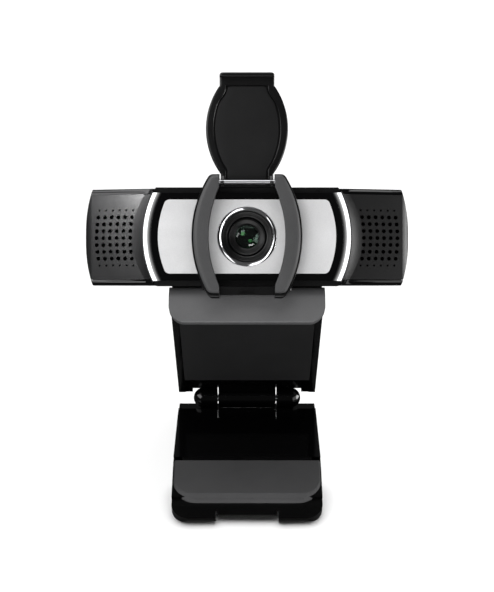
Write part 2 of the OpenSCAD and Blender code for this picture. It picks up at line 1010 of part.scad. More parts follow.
// Room for the foot's round root at the end of the leg
module foot_root_room() {
    translate([0, -leg_len, foot_n])
        rod_x(foot_root_r + gap, -half_clip - 1, half_clip + 1);
}
module leg_frame() {
    slab_end = leg_len - foot_root_r - gap;
    edge_end = leg_len - 1;
    pocket = 0.8;
    color("#0d0d0e")
        difference() {
            union() {
                difference() {
                    union() {
                        block([-half_clip, -slab_end, leg_low], [half_clip, -4.2, leg_top - pocket]);
                        block([-half_clip, -edge_end, foot_n],
                            [half_clip, -slab_end + 0.1, leg_top - pocket]);
                        both_sides()
                            block([half_clip - leg_rail, -edge_end, foot_n], [half_clip, -4.2, leg_top]);
                    }
                    foot_root_room();
                }
                both_sides() {
                    rod_x(hinge_r, knuckle_in, dome_x);
                    translate([dome_x, 0, 0])
                        sphere(r = hinge_r);
                    block([knuckle_in, -1.5, heel_n], [dome_x + 1, hinge_r, 0]);
                    translate([0, -leg_len, foot_n]) {
                        rod_x(foot_ear_r, foot_half + gap, half_clip);
                        block([foot_half + gap, 0, -foot_ear_r],
                            [half_clip, foot_root_r + 2 * gap, foot_ear_r]);
                    }
                }
                block([-half_clip, -6, heel_n - heel_r], [half_clip, -heel_s, -hinge_r - 0.5]);
                translate([0, -heel_s, heel_n])
                    intersection() {
                        rod_x(heel_r, -half_clip, half_clip);
                        block([-half_clip, -5, -5], [half_clip, 5, -hinge_r - 0.5 - heel_n]);
                    }
                block([-half_clip, -6, leg_low], [half_clip, -4.2, leg_low + 3]);
            }
            rod_x(clip_pin_r + 0.05, -clip_pin_half, clip_pin_half);
            translate([0, -leg_len, foot_n])
                rod_x(foot_pin_r, -half_clip, half_clip);
            tripod_place()
                translate([0, 0, leg_low - 1])
                    cylinder(r = insert_r, h = 4.2);
            leg_screw_places(screw_r, leg_low - 1, leg_low + 3.4);
            leg_screw_places(screw_head_r + seam, leg_low - 1, leg_low + 1);
        }
}
module leg_panel() {
    color("#040405")
        difference() {
            block([-half_clip + leg_rail + seam, -leg_len + 1, leg_top - 0.75],
                [half_clip - leg_rail - seam, -4.5, leg_top]);
            foot_root_room();
        }
}
module tripod_insert() {
    color("#b89a4a")
        tripod_place()
            translate([0, 0, leg_low])
                difference() {
                    cylinder(r = insert_r - 0.01, h = 3.2);
                    translate([0, 0, -1])
                        cylinder(r = tripod_r, h = 6);
                }
}
module leg_screw_places(r, z0, z1) {
    for (side = [-1, 1], s = [11, 28])
        translate([side * 17, -s, z0])
            cylinder(r = r, h = z1 - z0, $fn = small_fn);
}
module leg_screws() {
    color("#8c8c8e")
        difference() {
            union() {
                leg_screw_places(screw_r, leg_low + 0.2, leg_low + 3.3);
                leg_screw_places(screw_head_r, leg_low + 0.1, leg_low + 0.95);
            }
            for (side = [-1, 1], s = [11, 28])
                translate([side * 17, -s, leg_low - 1])
                    cylinder(r = 0.8, h = 1.6, $fn = 6);
        }
}
// ---- Foot ----

// Plan of the foot, with round corners at the toe
module foot_plan(half, reach) {
    translate([-half, -reach + toe_corner])
        square([2 * half, reach]);
    translate([-half + toe_corner, -reach])
        square([2 * (half - toe_corner), reach]);
    for (side = [-1, 1])
        translate([side * (half - toe_corner), -reach + toe_corner])
            circle(r = toe_corner);
}
// A notch in the front of the toe, with a bar left across its top
module toe_notch() {
    notch_half = 9.3;
    slit = 0.4;
    bar_s = 17.9;
    slit_s = 16.4;
    block([-notch_half, -foot_len - 2 * toe_r, -2 * toe_r], [notch_half, -bar_s, toe_r]);
    block([-notch_half, -bar_s - 1, -2 * toe_r], [notch_half, -foot_len + 4, -tray_z]);
    both_sides()
        block([notch_half - slit, -bar_s - 1, -toe_r], [notch_half, -slit_s, toe_r]);
}
module foot_carrier() {
    start_s = foot_ear_r + gap + seam;
    color("#101011")
        difference() {
            union() {
                intersection() {
                    side_slab(clip_w)
                        polygon(concat(
                            [[-start_s, pad_low], [-start_s, -toe_r]],
                            arc(-foot_len, 0, toe_r, 270, 180 - foot_slope, 12),
                            [[-pad_front_s - 1, tray_z], [-pad_front_s + 1.5, tray_z]],
                            [[-pad_front_s + 1.5, pad_low]]
                        ));
                    translate([0, 0, -half_clip])
                        linear_extrude(clip_w)
                            foot_plan(half_clip, foot_len + toe_r);
                }
                rod_x(foot_root_r, -foot_half, foot_half);
                block([-foot_half, -start_s - 0.1, -foot_root_r], [foot_half, 0, pad_low]);
            }
            rod_x(foot_pin_r + 0.04, -half_clip, half_clip);
            block([-half_clip - 1, -start_s - 1, pad_low], [half_clip + 1, pad_back + seam, toe_r]);
            toe_notch();
        }
}
module foot_pad() {
    half = half_clip - gap;
    color("#3a3a3b")
        intersection() {
            side_slab(clip_w)
                polygon([
                    [pad_back, pad_low + seam], [pad_back, pad_top],
                    [-pad_flat_s, pad_top], [-pad_front_s, tray_z + 0.7],
                    [-pad_front_s, tray_z + seam], [-pad_front_s + 1.45, tray_z + seam],
                    [-pad_front_s + 1.45, pad_low + seam]
                ]);
            translate([0, 0, -half_clip])
                linear_extrude(clip_w)
                    foot_plan(half, pad_front_s);
        }
}
module foot_pin() {
    color("#9a9a9c")
        rod_x(foot_pin_r, -half_clip + 0.1, half_clip - 0.1);
}

// ---- Assembly ----

in_head() rear_shell();
in_head() front_frame();
in_head() front_bezel();
in_head() face_plate();
in_head() left_wing_shell();
in_head() right_wing_shell();
in_head() left_top_trim();
in_head() right_top_trim();
in_head() left_bottom_trim();
in_head() right_bottom_trim();
in_head() left_light_bar();
in_head() right_light_bar();
in_head() left_light_board();
in_head() right_light_board();
in_head() left_mesh();
in_head() right_mesh();
in_head() left_microphone();
in_head() right_microphone();
in_head() left_mic_boot();
in_head() right_mic_boot();
in_head() lens_ring();
in_head() lens_hood();
in_head() lens_barrel();
in_head() lens_retainer();
in_head() front_element();
in_head() aperture_stop();
in_head() middle_element();
in_head() rear_element();
in_head() lens_carrier();
in_head() focus_coil();
in_head() focus_housing();
in_head() focus_magnets();
in_head() ir_filter();
in_head() image_sensor();
in_head() sensor_board();
in_head() main_board();
in_head() image_processor();
in_head() board_shield();
in_head() usb_header();
in_head() cable_gland();
in_head() head_screws();
in_head() shutter_bracket();
in_head() flap_pin();
in_head() flap();
in_head() flap_liner();
in_head() tilt_saddle();
in_head() saddle_screws();
tilt_pin();
in_plate() clip_frame();
in_plate() clip_cover();
in_plate() front_lip();
in_plate() jaw_pad();
clip_pin();
in_leg() leg_frame();
in_leg() leg_panel();
in_leg() tripod_insert();
in_leg() leg_screws();
in_foot() foot_carrier();
in_foot() foot_pad();
in_foot() foot_pin();
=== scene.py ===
"""A webcam on a folding monitor clip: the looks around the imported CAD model."""
import json
import math

import bmesh
import bpy
from mathutils import Matrix, Vector

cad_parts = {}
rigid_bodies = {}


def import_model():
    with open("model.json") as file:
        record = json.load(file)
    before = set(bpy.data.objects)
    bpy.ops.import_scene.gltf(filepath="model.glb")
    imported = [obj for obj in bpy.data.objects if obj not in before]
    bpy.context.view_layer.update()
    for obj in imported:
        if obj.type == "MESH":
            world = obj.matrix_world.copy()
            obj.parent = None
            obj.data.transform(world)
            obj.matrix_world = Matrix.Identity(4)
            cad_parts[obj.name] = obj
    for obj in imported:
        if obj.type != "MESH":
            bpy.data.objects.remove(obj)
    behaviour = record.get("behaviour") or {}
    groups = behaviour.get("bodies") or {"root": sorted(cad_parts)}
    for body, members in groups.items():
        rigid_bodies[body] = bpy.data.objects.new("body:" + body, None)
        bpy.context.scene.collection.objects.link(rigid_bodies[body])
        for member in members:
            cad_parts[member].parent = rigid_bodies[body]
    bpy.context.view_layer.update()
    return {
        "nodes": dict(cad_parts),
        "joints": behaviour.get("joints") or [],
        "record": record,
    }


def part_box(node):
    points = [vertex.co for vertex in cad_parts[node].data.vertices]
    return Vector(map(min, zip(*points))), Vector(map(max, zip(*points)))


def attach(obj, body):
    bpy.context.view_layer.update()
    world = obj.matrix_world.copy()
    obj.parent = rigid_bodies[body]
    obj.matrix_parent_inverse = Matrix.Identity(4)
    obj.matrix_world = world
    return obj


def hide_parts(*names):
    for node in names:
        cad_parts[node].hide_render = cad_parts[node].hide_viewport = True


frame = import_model()

MM = 0.001
nodes = frame["nodes"]
joints = {joint["name"]: joint for joint in frame["joints"]}
made = bpy.data.objects           # the pieces and the floor made here, by name

# ---------------------------------------------------------------- places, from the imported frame

PITCH = math.radians(30)          # the lens axis and the camera's both tilt by this
VIEW = Vector((0, math.cos(PITCH), -math.sin(PITCH)))
UP = Vector((0, math.sin(PITCH), math.cos(PITCH)))
RING_FRONT, RING_BACK = -1.1, 2.2  # the lens ring's two ends, along the lens axis


def lens_centre():
    """The head's own origin, on the lens axis."""
    low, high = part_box("lens_ring")
    return 0.5 * (Vector(low) + Vector(high)) - VIEW * 0.5 * (RING_FRONT + RING_BACK) * MM


def local_frame(origin, angle):
    """A function that takes a point in mm, in a frame turned about X, to its place in metres."""
    matrix = Matrix.Translation(origin) @ Matrix.Rotation(angle, 4, "X") @ Matrix.Scale(MM, 4)
    return lambda x, y, z: matrix @ Vector((x, y, z))


FOOT_LEN, TOE_R = 17, 2.5         # from the foot's axis to the round toe, and the toe's radius
foot_axis = Vector(joints["foot_fold"]["pos_m"])
foot_slope = math.asin((foot_axis.z / MM - TOE_R) / FOOT_LEN)
head = local_frame(lens_centre(), -PITCH)
flap_place = local_frame(Vector(joints["flap_swing"]["pos_m"]), -PITCH)
foot = local_frame(foot_axis, foot_slope)

# ---------------------------------------------------------------- camera, lights and floor

CAMERA_DISTANCE = 346 * MM
LENS_ABOVE_AXIS = 16.9 * MM       # the lens stands this far above the camera's axis
LENS_MM, SENSOR_MM = 73.76, 36
FLOOR_HALF, FLOOR_TONE = 3.0, 0.82
WORLD_LIGHT = 0.08                # light from all round, for everything but the camera, which sees white
GLINT_DISTANCE = 0.3              # from the lens to the lights that it mirrors
RING_CLOCKS = (7.6, 8.8, 10.0, 11.15, 2.0, 3.1, 4.2, 5.2)   # where the lens ring mirrors a light


def add_camera():
    data = bpy.data.cameras.new("camera")
    data.lens = LENS_MM
    data.sensor_width = SENSOR_MM
    data.clip_start = 0.01
    camera = bpy.data.objects.new("camera", data)
    bpy.context.collection.objects.link(camera)
    camera.location = lens_centre() - UP * LENS_ABOVE_AXIS - VIEW * CAMERA_DISTANCE
    camera.rotation_euler = (math.pi / 2 - PITCH, 0, 0)
    bpy.context.scene.camera = camera


def add_light(kind, name, place, aim, power, **settings):
    data = bpy.data.lights.new(name, kind)
    data.energy = power
    for key, value in settings.items():
        setattr(data, key, value)
    light = bpy.data.objects.new(name, data)
    bpy.context.collection.objects.link(light)
    light.location = place
    light.rotation_euler = (Vector(aim) - Vector(place)).to_track_quat("-Z", "Y").to_euler()
    light.visible_camera = False
    return light


def add_softbox(name, place, aim, size, power):
    return add_light("AREA", name, place, aim, power, shape="RECTANGLE", size=size[0], size_y=size[1])


def add_sky(name, place, power, spread):
    """Light from above, spread over that many degrees."""
    return add_light("SUN", name, place, (0, 0, 0), power, angle=math.radians(spread))


def piece_group(name, pieces):
    group = bpy.data.collections.new(name)
    for piece in pieces:
        group.objects.link(piece)
    return group


def shine_only_on(light, *pieces):
    light.light_linking.receiver_collection = piece_group(light.name + "_reach", pieces)


def shade_only_by(light, *pieces):
    light.light_linking.blocker_collection = piece_group(light.name + "_shade", pieces)


def keep_off(light, *pieces):
    shine_only_on(light, *pieces)
    for entry in light.light_linking.receiver_collection.collection_objects:
        entry.light_linking.link_state = "EXCLUDE"


def around(clock, off_axis, distance):
    """A place in front of the lens: a clock direction seen from the front, and degrees off its axis."""
    turn, lean = math.radians(90 - clock * 30), math.radians(off_axis)
    side = Vector((math.cos(turn), 0, 0)) + UP * math.sin(turn)
    return lens_centre() + (side * math.sin(lean) - VIEW * math.cos(lean)) * distance


def add_lights():
    """The studio: soft skies above, a box each side, a low card in front and one at the right edge."""
    middle = lens_centre()
    floor, bright_ring, glass = made["floor"], made["lens_bright_ring"], made["front_glass"]
    arm_cores = made["bracket_left_core"], made["bracket_right_core"]
    sky = add_sky("sky", place=(-0.14, 0.25, 1.0), power=3.8, spread=70)
    keep_off(sky, bright_ring, glass, nodes["foot_carrier"], floor)
    left = add_softbox("left_box", around(clock=9.6, off_axis=58, distance=0.5), middle,
                       size=(0.6, 0.3), power=2.6)
    keep_off(left, nodes["left_wing_shell"], floor, *arm_cores)
    right = add_softbox("right_box", around(clock=3.4, off_axis=58, distance=0.5), middle,
                        size=(0.5, 0.3), power=1.0)
    keep_off(right, floor, *arm_cores)
    front = add_softbox("front_card", (-0.1, -0.5, 0.06), (0, 0, 0.05), size=(0.5, 0.1), power=1.0)
    keep_off(front, bright_ring, glass, nodes["clip_frame"], nodes["leg_frame"], nodes["leg_panel"],
             nodes["foot_carrier"], floor)
    floor_sky = add_sky("floor_sky", place=(-0.12, 0.35, 1.0), power=4.2, spread=75)
    shine_only_on(floor_sky, floor)
    shade_only_by(floor_sky, nodes["foot_carrier"], made["foot_pad_apron"])
    add_softbox("edge_card", around(clock=3.0, off_axis=98, distance=0.4), middle,
                size=(0.3, 0.2), power=2.2)


def add_glint(name, piece, clock, off_axis, size, power, colour=(1.0, 1.0, 1.0)):
    """A light that one piece round the lens mirrors, and that nothing else takes or shades."""
    glint = add_softbox(name, around(clock, off_axis, GLINT_DISTANCE), lens_centre(), size, power)
    glint.data.color = colour
    shine_only_on(glint, piece)
    shade_only_by(glint, piece)


def add_accents():
    """Small lights that each reach a few parts only."""
    rear = add_softbox("rear_box", (0.15, 0.55, 0.35), (0, 0, 0.06), size=(0.4, 0.3), power=5.0)
    shine_only_on(rear, nodes["rear_shell"], nodes["left_wing_shell"], nodes["right_wing_shell"],
                  nodes["clip_frame"], nodes["cable_gland"], nodes["head_screws"])
    wing = add_softbox("wing_light", head(-33, -23, 26), head(-36, 0, 8), size=(0.012, 0.008), power=0.23)
    shine_only_on(wing, nodes["left_wing_shell"], nodes["left_top_trim"])
    lip = add_softbox("lip_light", (-0.04, -0.4, 0.22), (0, 0, 0.055), size=(0.1, 0.1), power=1.8)
    shine_only_on(lip, nodes["front_lip"])
    for clock in RING_CLOCKS:
        add_glint("ring_light_%d" % round(clock), made["lens_bright_ring"], clock, off_axis=59,
                  size=(0.16, 0.16), power=0.15)
    add_glint("glass_arc", made["front_glass"], clock=4.9, off_axis=24, size=(0.08, 0.03), power=0.06)
    add_glint("glass_tint", made["front_glass"], clock=10.6, off_axis=18, size=(0.06, 0.05), power=0.04,
              colour=(0.35, 1.0, 0.4))
    toe = add_softbox("toe_light", (0, -0.3, 0.01), (0, -0.02, 0), size=(0.1, 0.02), power=4.2)
    toe.visible_glossy = False
    shine_only_on(toe, made["foot_pad_cushion"], made["foot_pad_apron"])


def add_floor():
    mesh = bpy.data.meshes.new("floor")
    half = FLOOR_HALF
    corners = [(-half, -half, 0), (half, -half, 0), (half, half, 0), (-half, half, 0)]
    mesh.from_pydata(corners, [], [(0, 1, 2, 3)])
    floor = bpy.data.objects.new("floor", mesh)
    bpy.context.collection.objects.link(floor)
    mat = bpy.data.materials.new("floor_paper")
    mat.use_nodes = True
    shader = mat.node_tree.nodes["Principled BSDF"]
    shader.inputs["Base Color"].default_value = (FLOOR_TONE, FLOOR_TONE, FLOOR_TONE, 1)
    shader.inputs["Roughness"].default_value = 0.9
    shader.inputs["Specular IOR Level"].default_value = 0.1
    mesh.materials.append(mat)
    floor.visible_glossy = False


def add_world():
    world = bpy.context.scene.world or bpy.data.worlds.new("world")
    bpy.context.scene.world = world
    world.use_nodes = True
    background = world.node_tree.nodes["Background"]
    background.inputs["Color"].default_value = (1, 1, 1, 1)
    seen = world.node_tree.nodes.new("ShaderNodeLightPath")
    strength = world.node_tree.nodes.new("ShaderNodeMix")
    strength.inputs["A"].default_value = WORLD_LIGHT
    strength.inputs["B"].default_value = 1.0
    world.node_tree.links.new(seen.outputs["Is Camera Ray"], strength.inputs["Factor"])
    world.node_tree.links.new(strength.outputs["Result"], background.inputs["Strength"])
    bpy.context.scene.view_settings.view_transform = "Standard"


# ---------------------------------------------------------------- materials

BLOTCH = 9.0                      # size in mm of the broad, faint variation in every material
NOISE_LOW, NOISE_HIGH = 0.3, 0.7  # nearly all of the noise lies between these

# The light bars, in mm from the lens axis
BAR_IN, BAR_OUT = 28.6, 29.62
GLOW_FROM, GLOW_FULL = 27.5, 29.0
WHITE_FROM = 28.5                 # the plastic turns from clear black to white between here and BAR_IN


def node_of(tree, kind, **values):
    n = tree.nodes.new(kind)
    for key, value in values.items():
        if key in n.inputs:
            n.inputs[key].default_value = value
        else:
            setattr(n, key, value)
    return n


def tinted(colour, factor):
    return tuple(min(1.0, c * factor) for c in colour) + (1,)


def map_range(tree, source, from_low, from_high, to_low, to_high, **settings):
    """A node that takes a value from one range to another."""
    n = node_of(tree, "ShaderNodeMapRange", **settings)
    n.inputs["From Min"].default_value = from_low
    n.inputs["From Max"].default_value = from_high
    n.inputs["To Min"].default_value = to_low
    n.inputs["To Max"].default_value = to_high
    tree.links.new(source, n.inputs["Value"])
    return n


def surface(name, colour, rough, metal=0.0, grain=0.25, bump=0.0, spread=0.15, rough_spread=0.06,
            specular=0.5):
    """A plastic, rubber or metal. grain is its texture's size in mm, bump its depth in mm."""
    mat = bpy.data.materials.new(name)
    mat.use_nodes = True
    tree = mat.node_tree
    link = tree.links.new
    shader = tree.nodes["Principled BSDF"]
    shader.inputs["Metallic"].default_value = metal
    shader.inputs["Specular IOR Level"].default_value = specular
    place = node_of(tree, "ShaderNodeTexCoord")
    fine = node_of(tree, "ShaderNodeTexNoise", Scale=1.0 / (grain * MM), Detail=3.0, Roughness=0.6)
    link(place.outputs["Object"], fine.inputs["Vector"])
    broad = node_of(tree, "ShaderNodeTexNoise", Scale=1.0 / (BLOTCH * MM), Detail=4.0, Roughness=0.55)
    link(place.outputs["Object"], broad.inputs["Vector"])
    both = node_of(tree, "ShaderNodeMix", data_type="FLOAT")
    both.inputs["Factor"].default_value = 0.5
    link(broad.outputs["Fac"], both.inputs["A"])
    link(fine.outputs["Fac"], both.inputs["B"])
    ramp = node_of(tree, "ShaderNodeValToRGB")
    for element, position, factor in zip(ramp.color_ramp.elements, (NOISE_LOW, NOISE_HIGH),
                                         (1 - spread, 1 + spread)):
        element.position = position
        element.color = tinted(colour, factor)
    link(both.outputs["Result"], ramp.inputs["Fac"])
    link(ramp.outputs["Color"], shader.inputs["Base Color"])
    gloss = map_range(tree, both.outputs["Result"], NOISE_LOW, NOISE_HIGH,
                      max(0.02, rough - rough_spread), rough + rough_spread)
    link(gloss.outputs["Result"], shader.inputs["Roughness"])
    if bump:
        relief = node_of(tree, "ShaderNodeBump", Strength=1.0, Distance=bump * MM)
        link(fine.outputs["Fac"], relief.inputs["Height"])
        link(relief.outputs["Normal"], shader.inputs["Normal"])
    return mat


def glass_surface(name, colour, ior=1.52):
    mat = surface(name, colour, 0.03, rough_spread=0.01, spread=0.1)
    shader = mat.node_tree.nodes["Principled BSDF"]
    shader.inputs["Transmission Weight"].default_value = 1.0
    shader.inputs["IOR"].default_value = ior
    return mat


def light_pipe_surface(name, strength):
    """White where the bars are, and fading to clear black towards the lens axis."""
    mat = surface(name, (0.9, 0.92, 0.95), 0.25, spread=0.03, grain=0.6)
    tree = mat.node_tree
    link = tree.links.new
    shader = tree.nodes["Principled BSDF"]
    place = node_of(tree, "ShaderNodeTexCoord")
    offset = node_of(tree, "ShaderNodeVectorMath", operation="SUBTRACT")
    offset.inputs[1].default_value = lens_centre()
    link(place.outputs["Object"], offset.inputs[0])
    across = node_of(tree, "ShaderNodeVectorMath", operation="CROSS_PRODUCT")
    across.inputs[1].default_value = VIEW
    link(offset.outputs["Vector"], across.inputs[0])
    radius = node_of(tree, "ShaderNodeVectorMath", operation="LENGTH")
    link(across.outputs["Vector"], radius.inputs[0])
    glow = map_range(tree, radius.outputs["Value"], GLOW_FROM * MM, GLOW_FULL * MM, 0.0, strength,
                     interpolation_type="SMOOTHSTEP")
    link(glow.outputs["Result"], shader.inputs["Emission Strength"])
    shader.inputs["Emission Color"].default_value = (1, 1, 1, 1)
    white = map_range(tree, radius.outputs["Value"], WHITE_FROM * MM, BAR_IN * MM, 0.01, 1.0)
    tint = shader.inputs["Base Color"].links[0].from_socket
    shade = node_of(tree, "ShaderNodeVectorMath", operation="SCALE")
    link(tint, shade.inputs[0])
    link(white.outputs["Result"], shade.inputs["Scale"])
    link(shade.outputs["Vector"], shader.inputs["Base Color"])
    return mat


LOOKS = {
    "matte_shell": dict(colour=(0.0028, 0.0028, 0.0029), rough=0.44, grain=0.3, bump=0.035, specular=0.24),
    "satin_black": dict(colour=(0.0022, 0.0022, 0.0023), rough=0.3, grain=0.12, bump=0.003, specular=0.3),
    "gloss_black": dict(colour=(0.0008, 0.0008, 0.0009), rough=0.09, grain=0.4, rough_spread=0.02,
                        specular=0.35),
    "silver_plate": dict(colour=(0.56, 0.56, 0.565), rough=0.45, metal=0.3, grain=0.3, bump=0.012,
                         spread=0.1),
    "chrome_ring": dict(colour=(0.8, 0.8, 0.82), rough=0.1, metal=1.0, grain=0.2, spread=0.03,
                        rough_spread=0.02),
    "soft_grey": dict(colour=(0.044, 0.044, 0.045), rough=0.5, grain=0.3, bump=0.025, specular=0.22),
    "soft_black": dict(colour=(0.0072, 0.0072, 0.0074), rough=0.5, grain=0.3, bump=0.01, specular=0.12),
    "pad_rubber": dict(colour=(0.0115, 0.0115, 0.0118), rough=0.6, grain=0.3, bump=0.04, specular=0.12),
    "rubber_black": dict(colour=(0.01, 0.01, 0.01), rough=0.7, grain=0.2, bump=0.01),
    "acoustic_cloth": dict(colour=(0.002, 0.002, 0.002), rough=0.9, grain=0.1, bump=0.02, specular=0.1),
    "steel": dict(colour=(0.34, 0.34, 0.35), rough=0.32, metal=1.0, grain=0.3, spread=0.05,
                  rough_spread=0.03),
    "brass_insert": dict(colour=(0.62, 0.46, 0.2), rough=0.28, metal=1.0, grain=0.1, bump=0.002),
    "copper": dict(colour=(0.62, 0.26, 0.1), rough=0.35, metal=1.0, grain=0.08, bump=0.006),
    "circuit_board": dict(colour=(0.02, 0.12, 0.05), rough=0.4, grain=0.5, bump=0.004),
    "chip_black": dict(colour=(0.015, 0.015, 0.016), rough=0.55, grain=0.1, bump=0.004),
    "white_plastic": dict(colour=(0.75, 0.73, 0.66), rough=0.45, grain=0.15, bump=0.004),
}
MATERIALS = {name: surface(name, **look) for name, look in LOOKS.items()}
MATERIALS["light_pipe"] = light_pipe_surface("light_pipe", 0.6)
MATERIALS["lens_glass"] = glass_surface("lens_glass", (0.35, 0.5, 0.42))

# ---------------------------------------------------------------- the CAD parts

ROUNDING = {
    "rear_shell": 0.4, "front_frame": 0.3, "front_bezel": 0.1, "face_plate": 0.08,
    "left_wing_shell": 0.12, "right_wing_shell": 0.12,
    "left_top_trim": 0.35, "right_top_trim": 0.35, "left_bottom_trim": 0.35, "right_bottom_trim": 0.35,
    "tilt_saddle": 0.25, "clip_frame": 0.3, "clip_cover": 0.4, "front_lip": 0.15, "jaw_pad": 0.2,
    "leg_frame": 0.35, "leg_panel": 0.15, "foot_carrier": 0.35,
    "cable_gland": 0.3, "head_screws": 0.15, "leg_screws": 0.1, "clip_pin": 0.2, "foot_pin": 0.2,
    "flap_pin": 0.1, "tilt_pin": 0.1, "tripod_insert": 0.15,
}


def round_edges(part, width):
    flat = part.modifiers.new("flat faces", "DECIMATE")
    flat.decimate_type = "DISSOLVE"
    flat.angle_limit = math.radians(0.6)
    edge = part.modifiers.new("round edges", "BEVEL")
    edge.width = width * MM
    edge.segments = 3
    edge.limit_method = "ANGLE"
    edge.angle_limit = math.radians(32)
    edge.use_clamp_overlap = True
    edge.harden_normals = False
    edge.miter_outer = "MITER_ARC"
    even = part.modifiers.new("even shading", "WEIGHTED_NORMAL")
    even.keep_sharp = True


def dress_cad_parts():
    slots = {row["node"]: row["material_slot"] for row in frame["record"]["subparts"]}
    for name, part in nodes.items():
        part.data.materials.clear()
        part.data.materials.append(MATERIALS[slots[name]])
        if name in ROUNDING:
            round_edges(part, ROUNDING[name])


# ---------------------------------------------------------------- meshes built here

def solid(name, points, faces, slot, body, *stands_for):
    """A closed mesh that rides on a body and stands for some CAD nodes."""
    mesh = bpy.data.meshes.new(name)
    mesh.from_pydata(points, [], faces)
    work = bmesh.new()
    work.from_mesh(mesh)
    bmesh.ops.remove_doubles(work, verts=work.verts, dist=0.001 * MM)
    bmesh.ops.recalc_face_normals(work, faces=work.faces)
    work.to_mesh(mesh)
    work.free()
    mesh.shade_smooth()
    mesh.set_sharp_from_angle(angle=math.radians(38))
    mesh.materials.append(MATERIALS[slot])
    piece = bpy.data.objects.new(name, mesh)
    bpy.context.collection.objects.link(piece)
    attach(piece, body)
    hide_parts(*stands_for)
    return piece


def bands(rings_count, ring_size, closed=False):
    """Faces between each ring of points and the next, and from the last to the first if it is closed."""
    faces = []
    for i in range(rings_count if closed else rings_count - 1):
        n = (i + 1) % rings_count
        for j in range(ring_size):
            k = (j + 1) % ring_size
            faces.append((i * ring_size + j, i * ring_size + k, n * ring_size + k, n * ring_size + j))
    return faces


def loft(name, rings, place, slot, body, *stands_for):
    """A closed solid through rings of points in mm, with a flat face at each end."""
    count = len(rings[0])
    faces = bands(len(rings), count)
    faces.append(tuple(range(count)))
    faces.append(tuple(range((len(rings) - 1) * count, len(rings) * count)))
    points = [place(*point) for ring in rings for point in ring]
    return solid(name, points, faces, slot, body, *stands_for)


def quarter(steps):
    """Angles from 0 to 90 degrees, both among them."""
    return [math.pi / 2 * i / steps for i in range(steps + 1)]


def round_off(inset, radius):
    """How far a rounded edge has drawn back at a distance inset from its end."""
    if inset >= radius:
        return 0.0
    return radius - math.sqrt(radius ** 2 - (radius - max(0.0, inset)) ** 2)


def spaced(low, high, count, round_low=0.0, round_high=0.0, steps=6):
    """Stations from low to high, closer together along a rounded end."""
    turns = [1 - math.cos(a) for a in quarter(steps)[:-1]]
    start = [low + round_low * t for t in turns] if round_low else [low]
    end = [high - round_high * t for t in reversed(turns)] if round_high else [high]
    first, last = low + round_low, high - round_high
    middle = [first + (last - first) * i / count for i in range(count + 1)]
    if not round_low:
        middle = middle[1:]
    if not round_high:
        middle = middle[:-1]
    return start + middle + end


def bowed(half, curve, z):
    """Half the width at height z of a shape with bowed sides, which is widest at z = 0."""
    return half - curve + math.sqrt(curve ** 2 - z ** 2)


def mirrored(right, z):
    """A ring at height z from its right half, whose first point is on the middle line."""
    left = [(-x, y) for x, y in reversed(right[1:])]
    return [(x, y, z) for x, y in left + right]


# Shutter bracket: a bowed arm each side, and hooks over and under the head. The black on the lower hook
# under the head and on the arms' sides and ends is painted shade; the arm fronts keep the soft grey.
ARM_HALF, ARM_CURVE = 17.6, 32.4            # half of an arm's height, and the radius of its bow
ARM_OUT, ARM_IN, ARM_END_IN = 15.7, 10.9, 7.8   # its outer and inner edge, and the inner one at its ends
ARM_FRONT, ARM_BACK = -4.6, -1.2
ARM_ROUND, ARM_INNER_ROUND = 0.9, 0.15      # of its ends, and of its inner edge
END_DRAW_BACK, END_DRAW_IN = 0.7, 0.9       # how much of an end's rounding the front and the side take
OUTER_DEPTH = 0.8                           # depth of the outer edge's rounding, against its width
FACE_INSET, INNER_SHARE = 0.5, 0.25         # the soft face's inset, and how much its inner edge takes
BRACKET_EDGE = 0.25
PLATE_FRONT, PLATE_IN, PLATE_OUT = -0.9, 14.2, 15.3   # of the plates above and below the head


def arm_rings(side, low, high, inset, front, back, outer_round):
    """One arm, or a layer of it: its two ends, how far drawn in, and how its outer edge is rounded."""
    rings = []
    for z in spaced(low, high, 40, ARM_ROUND, ARM_ROUND):
        end = round_off(min(z - low, high - z), ARM_ROUND)
        face = front + END_DRAW_BACK * end
        outer = bowed(ARM_OUT, ARM_CURVE, z) - inset - END_DRAW_IN * end
        inner = max(ARM_END_IN, bowed(ARM_IN, ARM_CURVE, z)) + INNER_SHARE * inset
        section = [(inner, back)]
        for a in quarter(4):
            section.append((inner + ARM_INNER_ROUND * (1 - math.cos(a)),
                            face + ARM_INNER_ROUND * (1 - math.sin(a))))
        for a in quarter(8):
            section.append((outer - outer_round * (1 - math.sin(a)),
                            face + OUTER_DEPTH * outer_round * (1 - math.cos(a))))
        section.append((outer, back))
        rings.append([(side * x, min(y, back), z) for x, y in section])
    return rings


def slab_rings(outline, front, back, edge=BRACKET_EDGE):
    """A front-view outline as a slab whose front and back edges are softened by a bevel."""
    cx = sum(x for x, z in outline) / len(outline)
    cz = sum(z for x, z in outline) / len(outline)
    rings = []
    for y, draw in ((front, edge), (front + edge, 0), (back - edge, 0), (back, edge)):
        ring = []
        for x, z in outline:
            reach = math.hypot(x - cx, z - cz) or 1
            ring.append((x - draw * (x - cx) / reach, y, z - draw * (z - cz) / reach))
        rings.append(ring)
    return rings


def hook_outline():
    """The lower hook's lip, with a shallow arch in the middle of its edge."""
    wide, narrow, corner = 13.0, 10.7, 0.4
    top, low = -14.2, -16.7
    arch_half, arch_rise, steps = 2.6, 1.5, 10
    arch = []
    for i in range(steps + 1):
        a = math.pi * i / steps
        arch.append((-arch_half * math.cos(a), low + arch_rise * math.sin(a)))
    return [(-wide, top), (-narrow - corner, low + corner), (-narrow, low)] + arch + [
        (narrow, low), (narrow + corner, low + corner), (wide, top)]


def block_outline(x0, x1, z0, z1):
    return [(x0, z0), (x1, z0), (x1, z1), (x0, z1)]


def bracket_piece(name, rings, slot="satin_black"):
    loft("bracket_" + name, rings, head, slot, "head", "shutter_bracket")


